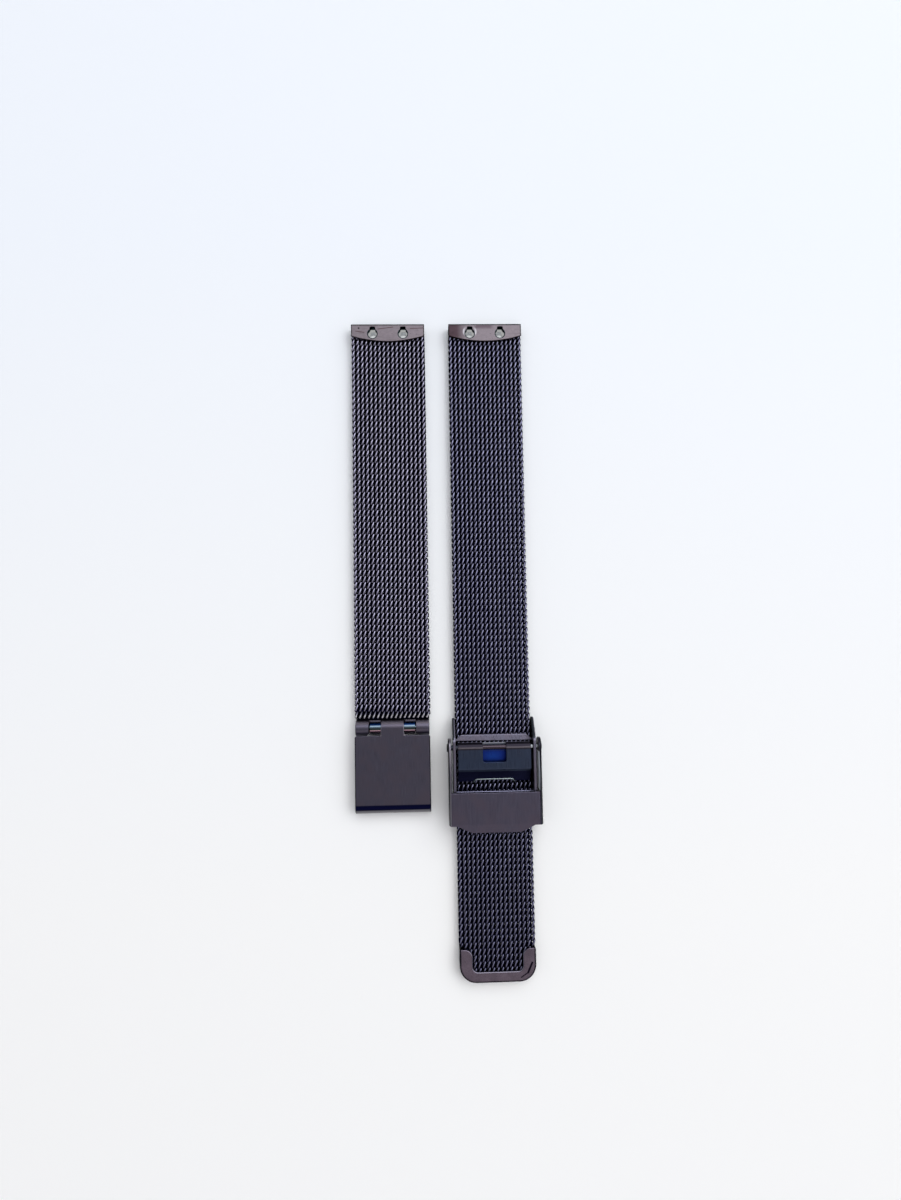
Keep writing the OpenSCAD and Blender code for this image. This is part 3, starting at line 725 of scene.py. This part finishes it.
def along(points, radius=WIRE_R):
    """Round wire along a line of points, with closed ends"""
    curve = bpy.data.curves.new("wire", "CURVE")
    curve.dimensions = "3D"
    curve.bevel_depth = radius
    curve.bevel_resolution = 1
    curve.use_fill_caps = True
    line = curve.splines.new("POLY")
    line.points.add(len(points) - 1)
    for spot, point in zip(line.points, points):
        spot.co = (*point, 1)
        spot.radius = INNER_SPREAD if point.z < -WIRE_R else 1.0
    wire = bpy.data.objects.new("wire", curve)
    bpy.context.collection.objects.link(wire)
    select_only(wire)
    bpy.ops.object.convert(target="MESH")
    return bpy.context.view_layer.objects.active


def turn_of_wire(turn):
    """The points of one turn, up along its outer stroke and back along its inner stroke"""
    middle = turn * COLUMN_PITCH
    outer = [Vector((middle + OUTER_LEAN * y / WAVE_Y, y, z)) for y, z in HALF_TURN]
    inner = [Vector((middle + COLUMN_PITCH / 2 + INNER_LEAN * y / WAVE_Y, -y, -z * INNER_DEPTH))
             for y, z in HALF_TURN]
    return outer + inner


def row_of_wire(strap, row, half_at=None, mend=None):
    """One coil across the strap; its ends are pressed in at the edges"""
    turns = math.ceil(EDGE / COLUMN_PITCH) + 1
    points = []
    for turn in range(-turns, turns + 1):
        for x, y, z in turn_of_wire(turn):
            y += ROW_SLANT[strap] * x - FIRST_ROW - row * ROW_PITCH
            half = half_at(y) if half_at else EDGE
            if abs(x) < half + COLUMN_PITCH * END_PRESS:
                point = Vector((max(-half, min(half, x)), y, z))
                points.append(mend(point) if mend else point)
    return along(points)


def rows_of_wire(strap, first, last):
    """Like rows, one behind the other"""
    row = row_of_wire(strap, first)
    apply_modifier(row, "ARRAY", count=last - first + 1, use_relative_offset=False,
                   use_constant_offset=True, constant_offset_displace=(0, -ROW_PITCH, 0))
    return row


def inside_end_cap(point):
    """The first rows are pressed back, out of the cap's solid root and clear of the two keyholes"""
    limit = -CAP_ROOT - WIRE_R
    reach = KEYHOLE_CLEAR + WIRE_R
    off = min(abs(point.x - KEYHOLE_X), abs(point.x + KEYHOLE_X))
    if off < reach:
        limit = min(limit, -KEYHOLE_AT - math.sqrt(reach * reach - off * off))
    return Vector((point.x, min(point.y, limit), point.z))


def short_cut_end(point):
    """The short strap's last row is cut off just before the hinge, at its full height"""
    limit = SHORT_END + WIRE_R
    place = max(point.y, limit)
    height = CREST_Z + CUT_RISE - CUT_FALL * (place - limit) if point.z > CREST_Z / 2 else point.z
    return Vector((point.x, place, height))


def tip_half(y):
    """How far the wire reaches to each side there, inside the tip cap's arms and round corners"""
    if y > tip_high.y - WATCH_END + WIRE_R:
        return EDGE
    inner = TIP_CORNER - TIP_WALL - WIRE_R
    into = min(max(0.0, TIP_END + inner - y), inner)
    return EDGE - TIP_WALL - inner + math.sqrt(inner * inner - into * into)


def inside_tip(point):
    return Vector((point.x, max(point.y, TIP_END), point.z))


def stretch_of_mesh(node, body, strap, first, last):
    """The rows from first to last, in place of one node of ribs"""
    parts = []
    plain_from, plain_to = first, last
    if first == 0:
        parts += [row_of_wire(strap, row, mend=inside_end_cap) for row in range(CAP_ROWS)]
        plain_from = CAP_ROWS
    if node == "short_mesh_5":
        parts.append(row_of_wire(strap, last, mend=short_cut_end))
        plain_to = last - 1
    if node == "long_mesh_tail":
        plain_to = last - TIP_ROWS
        parts += [row_of_wire(strap, row, tip_half, inside_tip) for row in range(plain_to + 1, last + 1)]
    parts.insert(0, rows_of_wire(strap, plain_from, plain_to))
    piece = joined(node + "_wire", parts)
    piece.data.transform(Matrix.Translation((MID_X[strap], WATCH_END, MID_Z)))
    select_only(piece)
    bpy.ops.object.shade_smooth()
    settle(piece, body, "mesh_wire", WIRE, node)


# The rows in each stretch, from the watch on
SHORT_STRETCHES = (12, 13, 13, 13, 13)
LONG_STRETCHES = (12, 12, 12, 12)
TAIL_ROWS = 58


def short_strap_mesh():
    first = 0
    for number, rows in enumerate(SHORT_STRETCHES, 1):
        body = {1: "root", 5: "short_hinge_end"}.get(number, f"short_stretch_{number}")
        stretch_of_mesh(f"short_mesh_{number}", body, "short", first, first + rows - 1)
        first += rows


def long_strap_mesh():
    first = 0
    for number, rows in enumerate(LONG_STRETCHES, 1):
        body = {1: "root"}.get(number, f"long_stretch_{number}")
        stretch_of_mesh(f"long_mesh_{number}", body, "long", first, first + rows - 1)
        first += rows
    stretch_of_mesh("long_mesh_tail", "long_tail", "long", first, first + TAIL_ROWS - 1)


# Sheet parts, copied from the frame with rounded edges

def finished_copy(node, edge, merge=MERGE):
    """A copy of a CAD node: merged, with its flat faces joined and its edges rounded"""
    piece = bpy.data.objects.new(node + "_finished", frame["nodes"][node].data.copy())
    bpy.context.collection.objects.link(piece)
    piece.data.transform(Matrix.Scale(1 / MM, 4))
    select_only(piece)
    bpy.ops.mesh.customdata_custom_splitnormals_clear()
    bpy.ops.object.mode_set(mode="EDIT")
    bpy.ops.mesh.select_all(action="SELECT")
    bpy.ops.mesh.remove_doubles(threshold=merge)
    bpy.ops.mesh.dissolve_limited(angle_limit=FLAT)
    bpy.ops.object.mode_set(mode="OBJECT")
    apply_modifier(piece, "BEVEL", width=edge, segments=3, limit_method="ANGLE",
                   angle_limit=SHARP, use_clamp_overlap=False)
    select_only(piece)
    bpy.ops.object.shade_smooth_by_angle(angle=SHARP)
    apply_modifier(piece, "WEIGHTED_NORMAL", keep_sharp=True, weight=90)
    return piece


def sheet_part(node, body, slot, finish, edge, merge=MERGE):
    return settle(finished_copy(node, edge, merge), body, slot, finish, node)


def hinge_clip():
    """The flange runs on under the mesh's cut end, right up to the knuckles"""
    flange_top, flange_edge, flange_reach = 0.5, 0.15, 0.32
    piece = finished_copy("hinge_clip", 0.08)
    for point in piece.data.vertices:
        if point.co.z < flange_top and abs(point.co.y - WATCH_END - SHORT_END) < flange_edge:
            point.co.y -= flange_reach
    return settle(piece, "short_hinge_end", "clasp_sheet", CLIP, "hinge_clip")


def lock_plate_rim():
    """The bright rolled rim round the notch in the lock plate's lower edge"""
    rim_r, rim_lift = 0.12, 0.15
    # The lip of the lock plate rises by this much for each millimetre along the band
    slope = 1.88 / 2.2
    # The right half of the notch, from the plate's middle and from its lower edge
    outline = ((3.2, 0.0), (3.14, 0.2), (2.95, 0.38), (2.65, 0.44))
    side = [Vector((x, y, lock_low.z + rim_lift + slope * y)) for x, y in outline]
    points = [Vector((-p.x, p.y, p.z)) for p in side] + side[::-1]
    piece = joined("lock_plate_rim", [along(points, radius=rim_r)])
    piece.data.transform(Matrix.Translation((LOCK_X, lock_low.y, 0)))
    select_only(piece)
    bpy.ops.object.shade_smooth()
    settle(piece, "lock", "bright_steel", RIM)


# Room, in metres

TABLE_SIZE = 6
# Between these places along the band, in millimetres, the table's near colour turns into its far colour
TABLE_TURN = (-40.0, 70.0)


def floor():
    bpy.ops.object.select_all(action="DESELECT")
    bpy.ops.mesh.primitive_plane_add(size=TABLE_SIZE)
    plane = bpy.context.view_layer.objects.active
    plane.name = "table"
    finish = Finish("white_table", FAR_TABLE, 0.9, metallic=0.0)
    finish.paint(finish.blend(finish.ramp(finish.axis("Y"), *TABLE_TURN, 0.0, 1.0), NEAR_TABLE, FAR_TABLE))
    finish.shader.inputs["Specular IOR Level"].default_value = 0.2
    # A painted glow on the table under each keyhole, seen by the camera and in reflections
    painted_glow_under_holes = 0.0
    for x, y in KEYHOLES:
        spot = finish.ramp(finish.from_axis(x, y), 0.55, 0.7, KEYHOLE_GLOW, 0.0)
        painted_glow_under_holes = finish.math("ADD", painted_glow_under_holes, spot)
    light_path = finish.nodes.new("ShaderNodeLightPath")
    seen = finish.math("MAXIMUM", light_path.outputs["Is Camera Ray"], light_path.outputs["Is Glossy Ray"])
    finish.glow(finish.math("MULTIPLY", seen, painted_glow_under_holes), NEAR_TABLE)
    plane.data.materials.append(finish.material)


# Colours of the room by height, from the horizon at 0 to straight up at 1
BACK_WALL = ((0.22, (0.85, 0.85, 0.85)), (0.3, (0.012, 0.03, 0.12)), (0.55, (0.012, 0.02, 0.07)),
             (0.86, (0.36, 0.34, 0.35)), (1.0, (0.36, 0.34, 0.35)))
WINDOW_WALL = ((0.07, (0.85, 0.86, 0.87)), (0.13, (0.35, 0.34, 0.36)), (0.5, (0.35, 0.34, 0.36)),
               (0.85, (0.85, 0.85, 0.87)), (1.0, (0.85, 0.85, 0.87)))
# From the first to the second of these ways along Y, the back wall's colours turn into the window wall's
WALL_TURN = (-0.25, 0.6)


def world():
    """A pale skirting at table height, navy walls behind the camera and grey ones towards the window"""
    room = bpy.data.worlds.new("room")
    room.use_nodes = True
    nodes, links = room.node_tree.nodes, room.node_tree.links
    split = nodes.new("ShaderNodeSeparateXYZ")
    links.new(nodes.new("ShaderNodeTexCoord").outputs["Generated"], split.inputs["Vector"])
    mix = nodes.new("ShaderNodeMix")
    mix.data_type = "RGBA"
    colour_sockets = [socket for socket in mix.inputs if socket.type == "RGBA"]
    for shades, socket in zip((BACK_WALL, WINDOW_WALL), colour_sockets):
        ramp = nodes.new("ShaderNodeValToRGB")
        first, last = ramp.color_ramp.elements
        first.position, first.color = shades[0][0], (*shades[0][1], 1)
        last.position, last.color = shades[-1][0], (*shades[-1][1], 1)
        for height, colour in shades[1:-1]:
            ramp.color_ramp.elements.new(height).color = (*colour, 1)
        links.new(split.outputs["Z"], ramp.inputs["Fac"])
        links.new(ramp.outputs["Color"], socket)
    share = nodes.new("ShaderNodeMapRange")
    share.inputs["From Min"].default_value, share.inputs["From Max"].default_value = WALL_TURN
    links.new(split.outputs["Y"], share.inputs["Value"])
    links.new(share.outputs["Result"], mix.inputs["Factor"])
    mixed = [socket for socket in mix.outputs if socket.type == "RGBA"][0]
    links.new(mixed, nodes["Background"].inputs["Color"])
    bpy.context.scene.world = room


# The lamps, all turned to the band: place, size, radiance and colour
WHITE = (1, 1, 1)
WARM = (1.0, 0.88, 0.82)
LAMPS = (((0.42, 0.72, 1.02), (1.5, 1.0), 2.2, WHITE),
         ((-0.8, -0.05, 0.85), (0.7, 0.9), 0.35, WHITE),
         ((0.8, -0.05, 0.85), (0.7, 0.9), 1.45, WHITE),
         ((0.0, -0.85, 0.95), (1.0, 0.7), 0.8, WARM))


def window_light(place, size, radiance, colour):
    data = bpy.data.lights.new("window_light", "AREA")
    data.color = colour
    data.shape = "RECTANGLE"
    data.size, data.size_y = size
    data.energy = radiance * math.pi * size[0] * size[1]
    lamp = bpy.data.objects.new("window_light", data)
    bpy.context.collection.objects.link(lamp)
    lamp.location = place
    lamp.rotation_euler = (-Vector(place)).to_track_quat("-Z", "Y").to_euler()


# The photograph's camera, fitted to the straps: place in metres and turns in degrees
CAMERA_PLACE = (-0.002462, 0.000916, 0.107148)
CAMERA_TURNS = (3.3898, -1.7341, -1.0062)
CAMERA_LENS = 19.65
SENSOR_W = 36
CLIP_START = 0.01


def camera():
    data = bpy.data.cameras.new("camera")
    data.lens = CAMERA_LENS
    data.sensor_width = SENSOR_W
    data.clip_start = CLIP_START
    eye = bpy.data.objects.new("camera", data)
    bpy.context.collection.objects.link(eye)
    eye.location = CAMERA_PLACE
    eye.rotation_euler = [math.radians(turn) for turn in CAMERA_TURNS]
    bpy.context.scene.camera = eye


camera()
floor()
world()
for lamp in LAMPS:
    window_light(*lamp)
bpy.context.scene.view_settings.view_transform = "Standard"

WIRE = wire_finish()
CLIP = clip_finish()
PLUM = plate_finish()
CAP = cap_finish()
SLATE = lock_finish()
CHANNEL = channel_finish()
PIN = pin_finish()
RIM = rim_finish()
MAUVE = mauve_finish()
TIP = tip_finish()
POLISH = polished_finish()

short_strap_mesh()
long_strap_mesh()
sheet_part("short_end_cap", "root", "end_sheet", MAUVE, 0.06)
sheet_part("long_end_cap", "root", "end_sheet", MAUVE, 0.06)
hinge_clip()
sheet_part("cover_plate", "cover", "clasp_sheet", PLUM, 0.1)
sheet_part("slider_channel", "slider", "clasp_sheet", CHANNEL, 0.09, merge=BENT_MERGE)
sheet_part("lock_plate", "lock", "clasp_sheet", SLATE, 0.06)
sheet_part("fold_cap", "cap", "clasp_sheet", CAP, 0.1, merge=BENT_MERGE)
sheet_part("tip_cap", "long_tail", "tip_sheet", TIP, 0.2)
sheet_part("pivot_pin", "slider", "clasp_sheet", PIN, 0.04)
sheet_part("spring_bar_tube", "short_hinge_end", "bright_steel", POLISH, 0.05)
lock_plate_rim()
for node in ("spring_bar_plunger_left", "spring_bar_plunger_right", "spring_bar_spring"):
    frame["nodes"][node].data.materials.clear()
    frame["nodes"][node].data.materials.append(POLISH)
